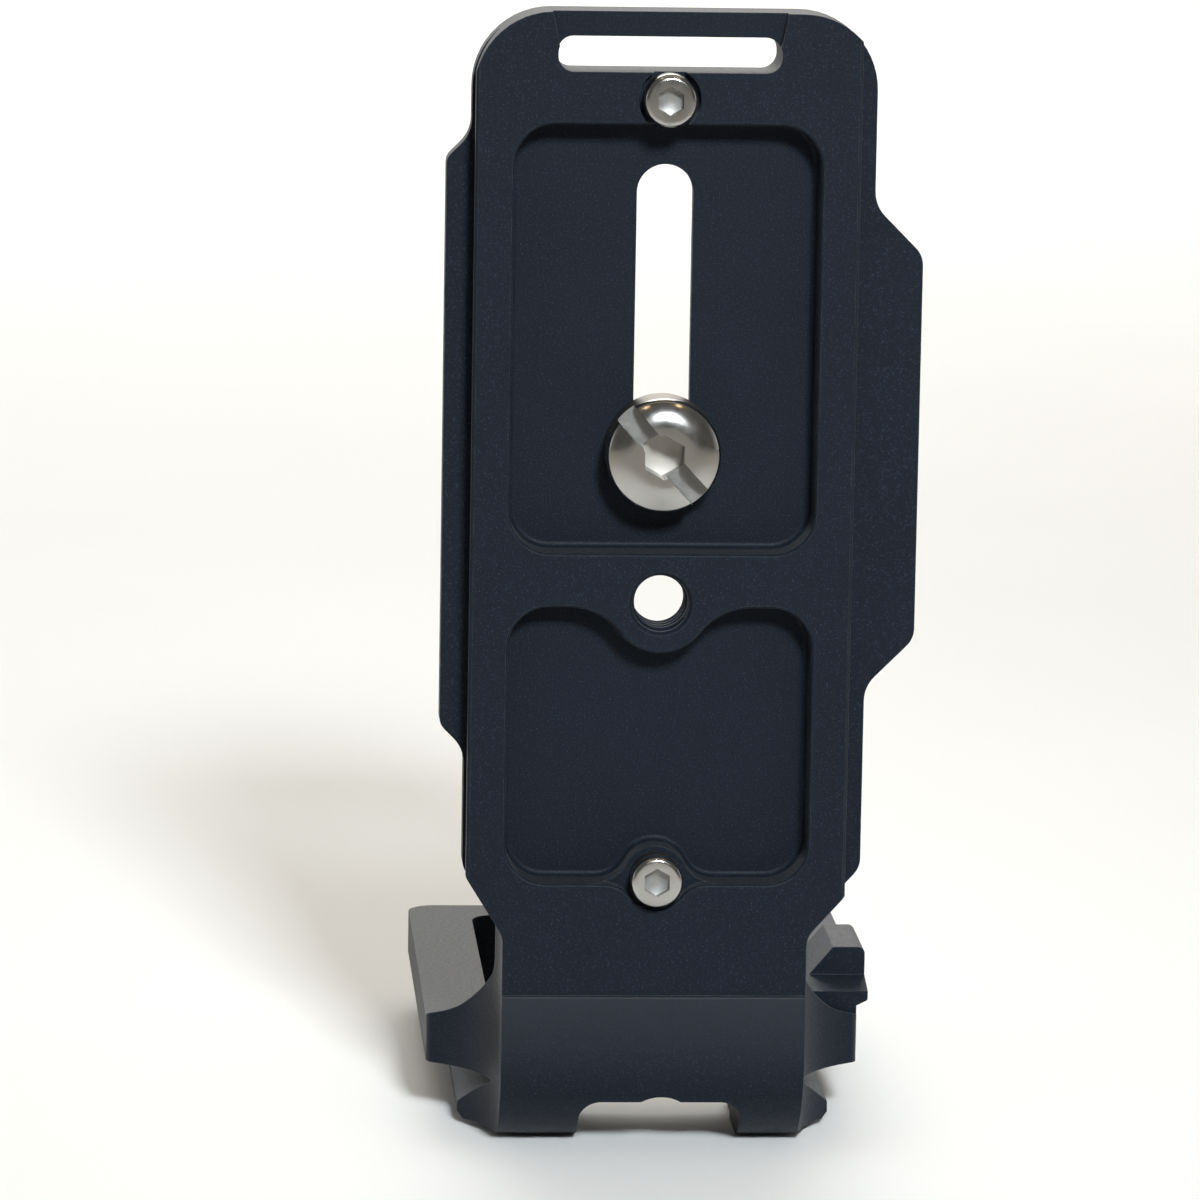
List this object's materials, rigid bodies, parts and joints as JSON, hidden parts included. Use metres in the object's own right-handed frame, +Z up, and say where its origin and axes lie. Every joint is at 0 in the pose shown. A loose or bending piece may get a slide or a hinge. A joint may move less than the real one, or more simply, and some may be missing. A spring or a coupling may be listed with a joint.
{
  "type": "camera l-bracket",
  "caption": "L-shaped camera mounting bracket with dovetail rails on both arms, a captive camera screw that slides in a slot, a tripod socket and a windowed side plate.",
  "frame": {"origin": "bottom centre of the bounding box, on the surface that the side plate stands on", "axes": "+Z up along the base plate, +Y from the base dovetail towards the camera along the side plate, +X to the right as seen from the base dovetail"},
  "size_m": [0.048, 0.0728, 0.1148],
  "materials": {
    "anodised": "fine bead-blasted, blue-black anodised",
    "stainless": "bright, turned"
  },
  "bodies": {
    "bracket": {"bracket": "anodised", "stop_screws": "stainless"},
    "screw_carriage": {"screw_retaining_ring": "stainless"},
    "camera_screw": {"camera_screw": "stainless"}
  },
  "joints": [
    {"name": "screw_slide", "type": "slide", "parent": "bracket", "child": "screw_carriage", "axis": [0, 0, 1], "range_m": [0, 0.02585]},
    {"name": "screw_turn", "type": "hinge", "parent": "screw_carriage", "child": "camera_screw", "pos_m": [-0.00183, -0.02823, 0.0711], "axis": [0, 1, 0], "continuous": true}
  ]
}
